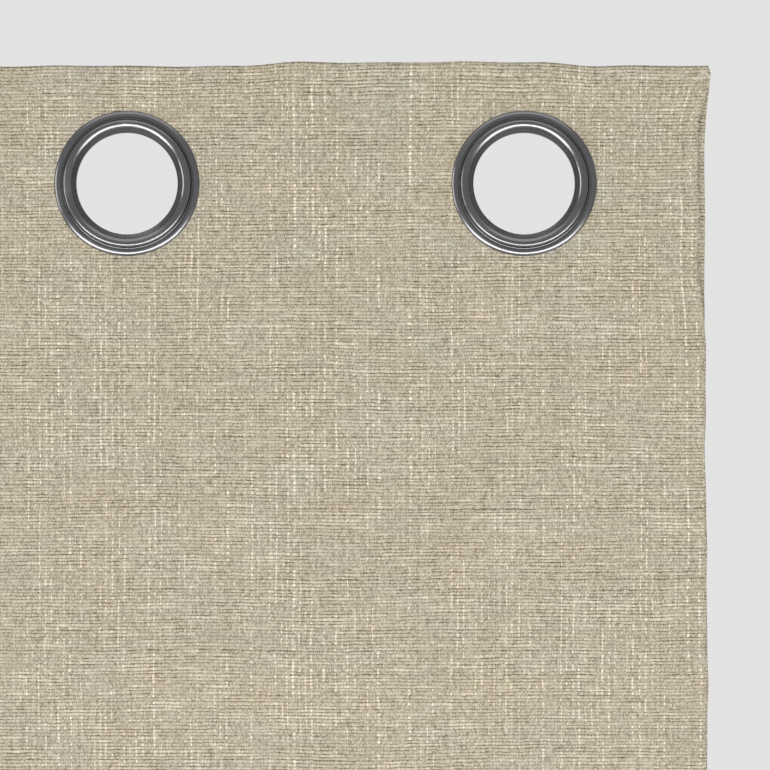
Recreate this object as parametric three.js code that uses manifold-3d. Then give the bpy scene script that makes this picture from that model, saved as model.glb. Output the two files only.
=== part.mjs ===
// Eyelet curtain panel: one flat, unlined panel of woven cloth with a row of two-piece
// snap grommets in its folded header. The rod isn't part of it.
//
// Units are millimetres and +Z is up. The panel hangs in the XZ plane: X runs along its
// width, -Y is the side that faces the room, and +Y faces the wall. The origin is on the
// rod line, the line through the grommet centres, halfway along the width.
//
// Cloth bends anywhere, so the panel is divided into rigid strips where it folds when it
// is gathered on a rod: halfway between each two grommets, and at the inner edge of the
// right side hem. The folds close towards the front and the back in turn, and each one
// turns about the outermost face of the cloth on its closing side, so neighbouring strips
// can stand edge to edge.

import * as THREE from 'three';
import { mergeVertices } from 'three/addons/utils/BufferGeometryUtils.js';
import Module from 'manifold-3d';

// ---- driving dimensions ---------------------------------------------------------------

const PANEL_WIDTH = 1270;
const PANEL_LENGTH = 2134;
const GROMMET_COUNT = 8;
const EDGE_TO_GROMMET = 73.5; // side edge to the centre of the outermost grommet
const TOP_TO_GROMMET = 47.5; // top edge to the grommet centres

const CLOTH_THICKNESS = 0.7;
const INTERFACING_THICKNESS = 0.4;
const HEADER_DEPTH = 101.6;
const BOTTOM_HEM_DEPTH = 76.2;
const SIDE_HEM_WIDTH = 25.4;
const INTERFACING_MARGIN = 3; // bare cloth between the interfacing and the header's seam

const BORE_RADIUS = 20.5;
const BARREL_WALL = 1;
const INNER_SLOPE_WIDTH = 3.5; // bore to the crest of the front ring
const OUTER_SKIRT_WIDTH = 5.5; // crest to the outer edge of the front ring
const CREST_HEIGHT = 4.4; // above the cloth
const CREST_FLAT = 1.2; // across the top of the crest
const LIP_WIDTH = 1.4;
const LIP_HEIGHT = 1.3;
const BORE_EDGE_HEIGHT = 1.2; // where the inner slope meets the bore
const BACK_RING_WIDTH = 6.5;
const BACK_RING_HEIGHT = 3;
const BACK_RING_BEVEL = 1.4;

const LABEL_WIDTH = 22;
const LABEL_LENGTH = 48;
const LABEL_THICKNESS = 0.3;
const LABEL_ABOVE_HEM = 60;

const GAP = 0.3; // between pieces that touch
const HOLE_EASE = 0.6; // between the barrel and the hole in the cloth
const ROUND_SIDES = 24;
const FOLD_ARC_STEPS = 6;

// ---- derived places -------------------------------------------------------------------

// the header is a sandwich: face cloth, interfacing, facing
const HALF_STACK = CLOTH_THICKNESS + GAP + INTERFACING_THICKNESS / 2;
const FRONT_Y = -HALF_STACK;
const BACK_Y = HALF_STACK;
const TOP_Z = TOP_TO_GROMMET;
const BOTTOM_Z = TOP_Z - PANEL_LENGTH;
const HEADER_SEAM_Z = TOP_Z - HEADER_DEPTH;
const BOTTOM_SEAM_Z = BOTTOM_Z + BOTTOM_HEM_DEPTH;

const GROMMET_PITCH = (PANEL_WIDTH - 2 * EDGE_TO_GROMMET) / (GROMMET_COUNT - 1);
const LEFT_X = -PANEL_WIDTH / 2;
const RIGHT_X = PANEL_WIDTH / 2;
const BAND_X = RIGHT_X - SIDE_HEM_WIDTH; // fold line at the right side hem

const BARREL_RADIUS = BORE_RADIUS + BARREL_WALL;
const HOLE_RADIUS = BARREL_RADIUS + HOLE_EASE;
const CREST_RADIUS = BORE_RADIUS + INNER_SLOPE_WIDTH;
const FLANGE_RADIUS = CREST_RADIUS + OUTER_SKIRT_WIDTH;

// ---- materials ------------------------------------------------------------------------

const cloth = new THREE.MeshStandardMaterial({ color: 0xbbb29c, roughness: 0.95 });
const interfacing = new THREE.MeshStandardMaterial({ color: 0xf0efea, roughness: 0.9 });
const label = new THREE.MeshStandardMaterial({ color: 0xf6f6f2, roughness: 0.6 });
const gunmetal = new THREE.MeshStandardMaterial({
  color: 0x55565a,
  roughness: 0.25,
  metalness: 1,
});

// ---- solids ---------------------------------------------------------------------------

const wasm = await Module();
wasm.setup();

function toSolid(geometry) {
  const bare = geometry.clone();
  bare.deleteAttribute('normal');
  bare.deleteAttribute('uv');
  const merged = mergeVertices(bare, 1e-4);
  return new wasm.Manifold(
    new wasm.Mesh({
      numProp: 3,
      vertProperties: new Float32Array(merged.attributes.position.array),
      triVerts: new Uint32Array(merged.index.array),
    }),
  );
}

function toGeometry(solid) {
  const mesh = solid.getMesh();
  const geometry = new THREE.BufferGeometry();
  geometry.setAttribute('position', new THREE.BufferAttribute(mesh.vertProperties, 3));
  geometry.setIndex(new THREE.BufferAttribute(mesh.triVerts, 1));
  geometry.computeVertexNormals();
  return geometry;
}

// A hole for the grommet's barrel, through every layer at the middle of a strip.
function punched(geometry) {
  const punch = new THREE.CylinderGeometry(
    HOLE_RADIUS,
    HOLE_RADIUS,
    4 * HALF_STACK,
    ROUND_SIDES,
  );
  return toGeometry(toSolid(geometry).subtract(toSolid(punch)));
}

// The cloth's section in Y and Z: up the front, over the top into the header's facing,
// and under the bottom into the hem, with a round fold at each end.
function clothSection() {
  const inner = HALF_STACK - CLOTH_THICKNESS;
  const topCentre = TOP_Z - HALF_STACK;
  const bottomCentre = BOTTOM_Z + HALF_STACK;
  const shape = new THREE.Shape();
  shape.moveTo(BACK_Y, HEADER_SEAM_Z);
  shape.lineTo(BACK_Y, topCentre);
  shape.absarc(0, topCentre, HALF_STACK, 0, Math.PI, false);
  shape.lineTo(FRONT_Y, bottomCentre);
  shape.absarc(0, bottomCentre, HALF_STACK, Math.PI, 2 * Math.PI, false);
  shape.lineTo(BACK_Y, BOTTOM_SEAM_Z);
  shape.lineTo(inner, BOTTOM_SEAM_Z);
  shape.lineTo(inner, bottomCentre);
  shape.absarc(0, bottomCentre, inner, 2 * Math.PI, Math.PI, true);
  shape.lineTo(-inner, topCentre);
  shape.absarc(0, topCentre, inner, Math.PI, 0, true);
  shape.lineTo(inner, HEADER_SEAM_Z);
  shape.closePath();
  return shape;
}

// A section drawn in Y and Z, carried along X from one place to another.
function alongX(section, fromX, toX) {
  const geometry = new THREE.ExtrudeGeometry(section, {
    depth: toX - fromX,
    bevelEnabled: false,
    curveSegments: FOLD_ARC_STEPS,
  });
  const turn = new THREE.Matrix4().makeBasis(
    new THREE.Vector3(0, 1, 0),
    new THREE.Vector3(0, 0, 1),
    new THREE.Vector3(1, 0, 0),
  );
  return geometry.applyMatrix4(turn).translate(fromX, 0, 0);
}

function boxBetween(x, y, z) {
  const geometry = new THREE.BoxGeometry(x[1] - x[0], y[1] - y[0], z[1] - z[0]);
  return geometry.translate((x[0] + x[1]) / 2, (y[0] + y[1]) / 2, (z[0] + z[1]) / 2);
}

// A ring about Y from a closed outline of [radius, y] points, with the outer wall
// running towards +Y.
function turned(outline) {
  const closed = [...outline, outline[0]];
  const points = closed.map(([radius, y]) => new THREE.Vector2(radius, y));
  return new THREE.LatheGeometry(points, ROUND_SIDES);
}

// The front ring: a thin lip, a groove, a raised crest, a slope down to the bore, and the
// barrel that goes through the header and ends flush with the back ring.
function frontRing() {
  const under = FRONT_Y - GAP;
  const barrelEnd = BACK_Y + GAP + BACK_RING_HEIGHT;
  return turned([
    [FLANGE_RADIUS, FRONT_Y - LIP_HEIGHT],
    [FLANGE_RADIUS, under],
    [BARREL_RADIUS, under],
    [BARREL_RADIUS, barrelEnd],
    [BORE_RADIUS, barrelEnd],
    [BORE_RADIUS, FRONT_Y - BORE_EDGE_HEIGHT],
    [CREST_RADIUS - CREST_FLAT / 2, FRONT_Y - CREST_HEIGHT],
    [CREST_RADIUS + CREST_FLAT / 2, FRONT_Y - CREST_HEIGHT],
    [FLANGE_RADIUS - LIP_WIDTH, FRONT_Y - LIP_HEIGHT],
  ]);
}

// The back ring: a flat washer with a bevelled outer edge that snaps onto the barrel.
function backRing() {
  const inner = BARREL_RADIUS + GAP;
  const outer = inner + BACK_RING_WIDTH;
  const near = BACK_Y + GAP;
  const far = near + BACK_RING_HEIGHT;
  return turned([
    [outer, near],
    [outer, far - BACK_RING_BEVEL],
    [outer - BACK_RING_BEVEL, far],
    [inner, far],
    [inner, near],
  ]);
}

// The turned double layer down a side edge, between the header and the bottom hem.
function sideHem(fromX, toX) {
  return boxBetween(
    [fromX, toX],
    [FRONT_Y + CLOTH_THICKNESS + GAP, BACK_Y],
    [BOTTOM_SEAM_Z + GAP, HEADER_SEAM_Z - GAP],
  );
}

// ---- the panel ------------------------------------------------------------------------

function addMesh(parent, name, geometry, material) {
  const mesh = new THREE.Mesh(geometry, material);
  mesh.name = name;
  parent.add(mesh);
  return mesh;
}

const panel = new THREE.Group();

function addStrip(number) {
  const centreX = LEFT_X + EDGE_TO_GROMMET + (number - 1) * GROMMET_PITCH;
  const isFirst = number === 1;
  const isLast = number === GROMMET_COUNT;
  const leftEdge = isFirst ? LEFT_X - centreX : (GAP - GROMMET_PITCH) / 2;
  const rightEdge = isLast ? BAND_X - GAP / 2 - centreX : (GROMMET_PITCH - GAP) / 2;
  const stiffLeft = isFirst ? leftEdge + SIDE_HEM_WIDTH : leftEdge;

  const strip = new THREE.Group();
  strip.position.x = centreX;
  panel.add(strip);

  const face = punched(alongX(clothSection(), leftEdge, rightEdge));
  addMesh(strip, `cloth_strip_${number}`, face, cloth);

  const stiffener = boxBetween(
    [stiffLeft, rightEdge],
    [-INTERFACING_THICKNESS / 2, INTERFACING_THICKNESS / 2],
    [HEADER_SEAM_Z + INTERFACING_MARGIN, TOP_Z - HALF_STACK],
  );
  addMesh(strip, `header_interfacing_${number}`, punched(stiffener), interfacing);

  addMesh(strip, `grommet_front_${number}`, frontRing(), gunmetal);
  addMesh(strip, `grommet_back_${number}`, backRing(), gunmetal);
}

for (let number = 1; number <= GROMMET_COUNT; number += 1) {
  addStrip(number);
}

const bandEdge = BAND_X + GAP / 2;
addMesh(panel, 'cloth_edge_band', alongX(clothSection(), bandEdge, RIGHT_X), cloth);
addMesh(panel, 'side_hem_right', sideHem(bandEdge, RIGHT_X), cloth);
addMesh(panel, 'side_hem_left', sideHem(LEFT_X, LEFT_X + SIDE_HEM_WIDTH), cloth);

// a blank care label, sewn behind the left side hem
const labelLeft = LEFT_X + (SIDE_HEM_WIDTH - LABEL_WIDTH) / 2;
const labelBottom = BOTTOM_SEAM_Z + LABEL_ABOVE_HEM;
const careLabel = boxBetween(
  [labelLeft, labelLeft + LABEL_WIDTH],
  [BACK_Y + GAP, BACK_Y + GAP + LABEL_THICKNESS],
  [labelBottom, labelBottom + LABEL_LENGTH],
);
addMesh(panel, 'care_label', careLabel, label);

export default panel;
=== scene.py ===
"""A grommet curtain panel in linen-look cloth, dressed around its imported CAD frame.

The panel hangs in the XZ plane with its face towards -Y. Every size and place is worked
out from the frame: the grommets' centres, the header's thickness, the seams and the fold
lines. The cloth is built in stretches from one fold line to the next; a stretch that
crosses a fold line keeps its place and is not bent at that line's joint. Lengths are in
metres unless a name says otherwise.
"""

import logging
import math
from dataclasses import dataclass, field
from enum import Enum
from typing import Any, Iterable, Optional, Sequence

import bmesh
import bpy
import numpy as np
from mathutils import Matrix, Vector


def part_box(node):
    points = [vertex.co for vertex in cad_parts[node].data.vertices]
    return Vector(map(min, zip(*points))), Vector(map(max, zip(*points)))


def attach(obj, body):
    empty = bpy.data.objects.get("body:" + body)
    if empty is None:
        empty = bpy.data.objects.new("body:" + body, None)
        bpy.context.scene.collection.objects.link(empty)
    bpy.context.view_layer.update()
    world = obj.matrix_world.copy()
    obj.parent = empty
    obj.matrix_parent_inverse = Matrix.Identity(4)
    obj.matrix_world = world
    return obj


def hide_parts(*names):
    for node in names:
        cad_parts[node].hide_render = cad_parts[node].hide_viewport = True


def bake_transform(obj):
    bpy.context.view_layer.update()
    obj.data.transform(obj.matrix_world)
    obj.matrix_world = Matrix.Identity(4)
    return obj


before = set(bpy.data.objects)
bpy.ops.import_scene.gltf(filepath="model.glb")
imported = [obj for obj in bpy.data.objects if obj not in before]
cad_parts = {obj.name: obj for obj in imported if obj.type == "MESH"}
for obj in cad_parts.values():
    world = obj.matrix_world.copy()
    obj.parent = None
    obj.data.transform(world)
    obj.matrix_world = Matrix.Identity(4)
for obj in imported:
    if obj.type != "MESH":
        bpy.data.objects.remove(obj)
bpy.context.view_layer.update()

log = logging.getLogger("curtain_panel")
logging.basicConfig(level=logging.INFO, format="%(message)s")

MM = 0.001
Array = np.ndarray
Colour = tuple[float, float, float]


# ---- meshes from numpy ------------------------------------------------------------------


def smoothstep(low: float, high: float, value: Array) -> Array:
    """The cubic ramp 3t^2 - 2t^3 from 0 at low to 1 at high.

    Args:
        low: where the ramp starts.
        high: where it ends; below low it ramps down.
        value: the places to read it at.

    Returns:
        The ramp's value at each place.
    """
    t = np.clip((value - low) / (high - low), 0.0, 1.0)
    return t * t * (3.0 - 2.0 * t)


def steps(start: float, stop: float, step: float) -> Array:
    """Evenly spaced places from start up to, but not including, stop.

    Args:
        start: the first place.
        stop: the place that the next stretch starts at.
        step: about how far apart the places are.

    Returns:
        The places.
    """
    count = max(1, round(abs(stop - start) / step))
    return np.linspace(start, stop, count, endpoint=False)


def grid_quads(rows: int, columns: int, wrap_rows: bool = False, wrap_columns: bool = False) -> Array:
    """The quads of a grid of points numbered row by row.

    Args:
        rows: how many rows of points there are.
        columns: how many points each row has.
        wrap_rows: whether the last row joins the first.
        wrap_columns: whether the last column joins the first.

    Returns:
        An array of four point numbers for each quad.
    """
    row = np.arange(rows if wrap_rows else rows - 1)
    column = np.arange(columns if wrap_columns else columns - 1)
    i, j = np.meshgrid(row, column, indexing="ij")
    down, along = (i + 1) % rows, (j + 1) % columns
    corners = [i * columns + j, i * columns + along, down * columns + along, down * columns + j]
    return np.stack(corners, axis=-1).reshape(-1, 4)


def repeated(quads: Array, copies: int, points: int) -> Array:
    """The quads of several copies of a mesh, whose points follow each other.

    Args:
        quads: one copy's quads.
        copies: how many copies there are.
        points: how many points each has.

    Returns:
        Four point numbers for each quad of every copy.
    """
    return (quads[None] + (np.arange(copies) * points)[:, None, None]).reshape(-1, 4)


def make_piece(name: str, points: Array, quads: Array, uv: Optional[Array] = None) -> bpy.types.Object:
    """A mesh object at the origin from arrays, without the points that no quad uses.

    Args:
        name: the piece's name.
        points: one row of x, y and z for each point.
        quads: four point numbers for each face.
        uv: one row of u and v for each point, in metres of cloth.

    Returns:
        The object, linked to the scene.
    """
    used, packed = np.unique(quads, return_inverse=True)
    packed = packed.reshape(quads.shape)
    mesh = bpy.data.meshes.new(name)
    mesh.from_pydata(points[used].tolist(), [], packed.tolist())
    if uv is not None:
        layer = mesh.uv_layers.new(name="UVMap")
        corner = np.empty(len(mesh.loops), np.int32)
        mesh.loops.foreach_get("vertex_index", corner)
        layer.data.foreach_set("uv", uv[used][corner].astype(np.float32).ravel())
    mesh.validate()
    mesh.update()
    piece = bpy.data.objects.new(name, mesh)
    bpy.context.scene.collection.objects.link(piece)
    return piece


def finish_mesh(piece: bpy.types.Object, thickness: float = 0.0, sharp_deg: float = 45.0) -> None:
    """Gives a sheet its thickness, applies it, and shades the piece smooth but for its edges.

    Args:
        piece: the object, whose mesh is changed.
        thickness: the sheet's thickness, half on each side, or 0 for a closed piece.
        sharp_deg: edges that turn more than this stay sharp.
    """
    if thickness > 0:
        solid = piece.modifiers.new("thickness", "SOLIDIFY")
        solid.thickness = thickness
        solid.offset = 0.0
        graph = bpy.context.evaluated_depsgraph_get()
        thick = bpy.data.meshes.new_from_object(piece.evaluated_get(graph))
        piece.modifiers.clear()
        thin, piece.data = piece.data, thick
        bpy.data.meshes.remove(thin)
        thick.name = piece.name
    piece.data.shade_smooth()
    piece.data.set_sharp_from_angle(angle=math.radians(sharp_deg))


def arc(centre: tuple[float, float], radius: float, start_deg: float, end_deg: float,
        count: int) -> Array:
    """Points along an arc: centre + radius * (cos a, sin a), for a from start to end.

    Args:
        centre: the arc's centre.
        radius: its radius.
        start_deg: the first point's angle.
        end_deg: the last point's angle.
        count: how many points there are.

    Returns:
        One row of two numbers for each point.
    """
    a = np.radians(np.linspace(start_deg, end_deg, count))
    return np.column_stack([centre[0] + radius * np.cos(a), centre[1] + radius * np.sin(a)])


def turned_piece(name: str, outline: Array, shade_mask: Array, centre_x: float,
                 sides: int) -> bpy.types.Object:
    """A ring: a closed outline of (radius, y) carried round the Y axis through centre_x.

    A point of the ring is (centre_x + radius * sin phi, y, radius * cos phi).

    Args:
        name: the piece's name.
        outline: one row of radius and y for each point, once round the section.
        shade_mask: for each of them, how much painted shade it gets, from 0 to 1, kept as an attribute.
        centre_x: where the ring's axis is.
        sides: how many steps there are in phi.

    Returns:
        The ring, with its faces pointing out.
    """
    phi = np.linspace(0.0, 2.0 * math.pi, sides, endpoint=False)[:, None]
    radius, y = outline[:, 0][None, :], outline[:, 1][None, :]
    x = centre_x + radius * np.sin(phi)
    z = radius * np.cos(phi)
    points = np.stack([x, np.broadcast_to(y, x.shape), z], axis=-1).reshape(-1, 3)
    quads = grid_quads(sides, len(outline), wrap_rows=True, wrap_columns=True)
    following = np.roll(outline, -1, axis=0)
    area = np.sum(outline[:, 0] * following[:, 1] - following[:, 0] * outline[:, 1]) / 2.0
    if area < 0:
        quads = quads[:, ::-1]
    piece = make_piece(name, points, quads)
    # each point's share of painted shade in the throat and the groove, read by the metal's material
    layer = piece.data.attributes.new("shade_mask", "FLOAT", "POINT")
    layer.data.foreach_set("value", np.tile(shade_mask, sides).astype(np.float32))
    return piece


# ---- shader expressions -----------------------------------------------------------------


class Value:
    """A number in a shader, either a socket's output or a plain number.

    The operators add Math nodes to the sheet, also when a plain number comes first.
    """

    def __init__(self, sheet: "NodeSheet", source: Any) -> None:
        """Keeps the sheet that the nodes go on, and the socket or number."""
        self.sheet = sheet
        self.source = source

    def _with(self, operation: str, *others: Any) -> "Value":
        """A Math node on this value and the others."""
        return self.sheet.math(operation, self, *others)

    def __add__(self, other: Any) -> "Value":
        """self + other."""
        return self._with("ADD", other)

    def __radd__(self, other: Any) -> "Value":
        """other + self."""
        return self.sheet.math("ADD", other, self)

    def __sub__(self, other: Any) -> "Value":
        """self - other."""
        return self._with("SUBTRACT", other)

    def __rsub__(self, other: Any) -> "Value":
        """other - self."""
        return self.sheet.math("SUBTRACT", other, self)

    def __mul__(self, other: Any) -> "Value":
        """self * other."""
        return self._with("MULTIPLY", other)

    def __rmul__(self, other: Any) -> "Value":
        """other * self."""
        return self.sheet.math("MULTIPLY", other, self)

    def __truediv__(self, other: Any) -> "Value":
        """self / other."""
        return self._with("DIVIDE", other)

    def __pow__(self, other: Any) -> "Value":
        """self to the power of other."""
        return self._with("POWER", other)

    def floor(self) -> "Value":
        """The whole number below."""
        return self._with("FLOOR")

    def fraction(self) -> "Value":
        """What is over the whole number below."""
        return self._with("FRACT")

    def size(self) -> "Value":
        """The value without its sign."""
        return self._with("ABSOLUTE")

    def sine(self) -> "Value":
        """The sine, in radians."""
        return self._with("SINE")

    def ramp(self, low: float, high: float, to_low: float = 0.0, to_high: float = 1.0) -> "Value":
        """A smooth step, 3t^2 - 2t^3, between two levels.

        Args:
            low: where the step starts.
            high: where it ends.
            to_low: the result at low and below it.
            to_high: the result at high and above it.

        Returns:
            The result.
        """
        settings = {"interpolation_type": "SMOOTHSTEP"}
        values = {"Value": self, "From Min": low, "From Max": high, "To Min": to_low, "To Max": to_high}
        made = self.sheet.node("ShaderNodeMapRange", settings, values)
        return Value(self.sheet, made.outputs["Result"])


class NodeSheet:
    """A material's node tree, and the few ways in which this file adds nodes to it."""

    def __init__(self, name: str) -> None:
        """Starts a material with a Principled shader and its output.

        Args:
            name: the material's name.
        """
        self.material = bpy.data.materials.new(name)
        self.material.use_nodes = True
        self.tree = self.material.node_tree
        self.shader = self.tree.nodes["Principled BSDF"]

    def node(self, kind: str, settings: dict[str, Any], values: dict[Any, Any]) -> bpy.types.Node:
        """Adds a node.

        Args:
            kind: the node's type.
            settings: its properties, which are set first.
            values: a number, colour, Value or socket for each of its input sockets.

        Returns:
            The node.
        """
        made = self.tree.nodes.new(kind)
        for key, setting in settings.items():
            setattr(made, key, setting)
        for key, value in values.items():
            self.feed(made.inputs[key], value)
        return made

    def feed(self, socket: bpy.types.NodeSocket, value: Any) -> None:
        """Links a socket to a Value or a socket, or sets it to a number or a colour.

        Args:
            socket: the input to feed.
            value: what to feed it.
        """
        source = value.source if isinstance(value, Value) else value
        if isinstance(source, bpy.types.NodeSocket):
            self.tree.links.new(source, socket)
        else:
            socket.default_value = source

    def math(self, operation: str, *operands: Any) -> Value:
        """A Math node on up to three numbers or Values."""
        made = self.node("ShaderNodeMath", {"operation": operation}, dict(enumerate(operands)))
        return Value(self, made.outputs[0])

    def pair(self, x: Any, y: Any, z: Any = 0.0) -> bpy.types.NodeSocket:
        """A vector of two or three numbers or Values."""
        return self.node("ShaderNodeCombineXYZ", {}, {"X": x, "Y": y, "Z": z}).outputs[0]

    def cloth_place(self) -> tuple[Value, Value]:
        """Where a point is on the cloth, in metres.

        Returns:
            The place across the cloth and the place along it.
        """
        uv = self.node("ShaderNodeUVMap", {"uv_map": "UVMap"}, {}).outputs["UV"]
        split = self.node("ShaderNodeSeparateXYZ", {}, {"Vector": uv})
        return Value(self, split.outputs["X"]), Value(self, split.outputs["Y"])

    def attribute(self, name: str) -> Value:
        """A number that is kept at each of the piece's points."""
        return Value(self, self.node("ShaderNodeAttribute", {"attribute_name": name}, {}).outputs["Fac"])

    def object_place(self) -> bpy.types.NodeSocket:
        """Where a point is in the panel's own frame, in metres."""
        return self.node("ShaderNodeTexCoord", {}, {}).outputs["Object"]

    def noise(self, place: Any, scale: float, detail: float = 1.0) -> Value:
        """Smooth noise about 0.5."""
        values = {"Vector": place, "Scale": scale, "Detail": detail, "Roughness": 0.55}
        return Value(self, self.node("ShaderNodeTexNoise", {}, values).outputs["Fac"])

    def chance(self, x: Any, y: Any = 0.0) -> Value:
        """A fixed random number for each pair of whole numbers.

        Args:
            x: the first number.
            y: the second.

        Returns:
            A Value from 0 to 1.
        """
        settings = {"noise_dimensions": "2D"}
        made = self.node("ShaderNodeTexWhiteNoise", settings, {"Vector": self.pair(x, y)})
        return Value(self, made.outputs["Value"])

    def blend(self, share: Any, first: Any, second: Any, kind: str = "MIX") -> bpy.types.NodeSocket:
        """A colour between two others, or with another kind, the two put together.

        Args:
            share: how much of the second there is, from 0 to 1.
            first: the colour at share 0.
            second: the colour at share 1.
            kind: the Mix node's blend type.

        Returns:
            The colour's socket.
        """
        settings = {"data_type": "RGBA", "blend_type": kind}
        values = {0: share, 6: rgba(first), 7: rgba(second)}
        return self.node("ShaderNodeMix", settings, values).outputs[2]

    def bump(self, height: Value, distance: float) -> None:
        """Raises the surface by height times distance."""
        made = self.node("ShaderNodeBump", {}, {"Height": height, "Distance": distance, "Strength": 1.0})
        self.feed(self.shader.inputs["Normal"], made.outputs["Normal"])

    def surface(self, **values: Any) -> bpy.types.Material:
        """Feeds the Principled shader's sockets.

        Args:
            **values: a number, colour, Value or socket for each, named with _ for a space.

        Returns:
            The finished material.
        """
        for key, value in values.items():
            self.feed(self.shader.inputs[key.replace("_", " ")], value)
        return self.material


def rgba(colour: Any) -> Any:
    """A colour with its alpha, or the socket it was given."""
    return (*colour, 1.0) if isinstance(colour, tuple) and len(colour) == 3 else colour


# ---- finishes ---------------------------------------------------------------------------


@dataclass(frozen=True)
class LinenWeave:
    """Matt oatmeal cloth: uneven weft ribs, painted lighter on their crowns and painted dark as shade in
    the gaps between them, and irregular cream warp slubs.
    """

    name: str = "linen_look_weave"
    weft_pitch: float = 1.37 * MM
    slub_pitch: float = 2.45 * MM
    warp_pitch: float = 0.85 * MM
    fibre_pitch: float = 0.42 * MM
    dark: Colour = (0.099, 0.076, 0.038)
    light: Colour = (0.775, 0.720, 0.603)
    warm: Colour = (1.024, 0.985, 0.910)
    cool: Colour = (0.997, 1.000, 0.988)
    yarn_relief: float = 0.14 * MM

    def make(self) -> bpy.types.Material:
        """Builds the material.

        The cloth's own place (u across, v along) is wandered a little by slow noise, then
        counted in yarns. Each weft row is a rib, sin(pi * fraction), lit at its crown by
        painted light, with painted shade in the gap beside it that comes and goes in dashes.
        Some warp columns are slubs, which show as cream dashes where they lie over the ribs.
        Some rows are paler, painted brightest on their crowns as a painted highlight. All of
        it adds up to one brightness, which runs from the dark colour, reached in the painted
        shade, to the light yarn, and slow patches tint it warm or cool.

        Returns:
            The material.
        """
        s = NodeSheet(self.name)
        u, v = s.cloth_place()
        v = v + (s.noise(s.pair(u * 11.0, v * 15.0), 1.0) - 0.5) * (3.0 * MM)
        v = v + (s.noise(s.pair(u * 90.0, v * 60.0, 20.0), 1.0) - 0.5) * (0.8 * MM)
        u = u + (s.noise(s.pair(u * 21.0, v * 13.0, 3.0), 1.0) - 0.5) * (2.4 * MM)
        u = u + (s.noise(s.pair(u * 60.0, v * 150.0, 31.0), 1.0) - 0.5) * (0.7 * MM)

        rows = v / self.weft_pitch + (s.noise(s.pair(0.0, v * 520.0), 1.0) - 0.5) * 0.9
        row = rows.floor()
        second_row = (row * 0.5).fraction() * 2.0
        rib = (rows.fraction() * math.pi).sine()
        zone = s.noise(s.pair(u * 40.0, v * 95.0, 7.0), 1.0, 2.0).ramp(0.38, 0.56)
        streak = s.noise(s.pair(u * 80.0, row * 0.77), 1.0) - 0.5
        dash = s.noise(s.pair(u * 330.0, row * 1.31, 1.0), 1.0, 1.0)
        shifted = u + s.chance(row, 21.0) * self.warp_pitch
        broken = s.chance((shifted / self.warp_pitch).floor(), row + 40.0)
        # painted shade: the gap beside each rib is darkened, in dashes
        shaded_gap = (1.0 - rib).ramp(0.30, 0.85) * (dash + streak * 0.5).ramp(0.42, 0.56, 0.08, 1.0)
        shaded_gap = shaded_gap * (zone * 0.75 + 0.25) * (0.6 + broken * 0.4) * (0.60 + second_row * 0.40)

        slubs = u / self.slub_pitch + (s.noise(s.pair(u * 260.0, 8.0), 1.0) - 0.5) * 0.9
        column = slubs.floor()
        middle = 1.0 - (slubs.fraction() - 0.5).size().ramp(0.055, 0.16)
        cluster = s.noise(s.pair(u * 55.0, v * 22.0, 13.0), 1.0, 1.0).ramp(0.34, 0.60, 0.3, 1.0)
        run = s.noise(s.pair(column * 3.7, v * 34.0, 2.0), 1.0, 1.0).ramp(0.38, 0.52)
        over = s.chance(column, row).ramp(0.20, 0.65, 0.0, 1.0)
        over = over * (0.45 + ((row + column) * 0.5).fraction() * 1.1)
        strength = s.chance(column, 9.0).ramp(0.05, 0.85, 0.2, 1.0)
        cream = middle * cluster * run * over * strength * rib
        # some rows paler, painted brightest on their crowns as a painted highlight
        pale_row_highlight = s.noise(s.pair(u * 60.0, row * 1.93, 41.0), 1.0, 1.0).ramp(0.52, 0.68)
        pale_row_highlight = pale_row_highlight * rib ** 3.0

        grain = s.chance((u / self.fibre_pitch).floor(), (rows * 2.0).floor()) - 0.5
        cell = s.chance((shifted * 1.7 / self.warp_pitch).floor(), row) - 0.5
        fibre = s.noise(s.pair(u * 1500.0, v * 2600.0), 1.0, 1.0) - 0.5
        thread = s.chance((u / self.warp_pitch).floor(), 3.0) - 0.5
        slow = s.noise(s.pair(u * 16.0, v * 24.0, 11.0), 1.0, 2.0) - 0.5

        # painted light and shade: rib * 0.07 lights each rib's crown, the gap term paints shade beside
        # it, and the pale rows add painted highlights on crowns
        tone = 0.374 + rib * 0.07 - shaded_gap * 0.50 + cream * 1.15 + pale_row_highlight * 0.20 + zone * 0.04
        tone = tone + streak * 0.08 + cell * 0.10 + grain * 0.34 + thread * 0.05
        tone = tone + fibre * 0.34 + slow * 0.03
        tint = s.noise(s.pair(u * 26.0, v * 55.0, 17.0), 1.0, 2.0) + streak * 0.35 + (0.5 - zone) * 0.10
        colour = s.blend(tone, self.dark, self.light)
        colour = s.blend(1.0, colour, s.blend(tint.ramp(0.28, 0.72), self.warm, self.cool), "MULTIPLY")
        s.bump(rib * 0.6 + cream * 0.8 + fibre * 0.7 - shaded_gap * 0.5, self.yarn_relief)
        return s.surface(Base_Color=colour, Roughness=0.92, Sheen_Weight=0.06, Sheen_Roughness=0.5,
                         Specular_IOR_Level=0.15)


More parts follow.
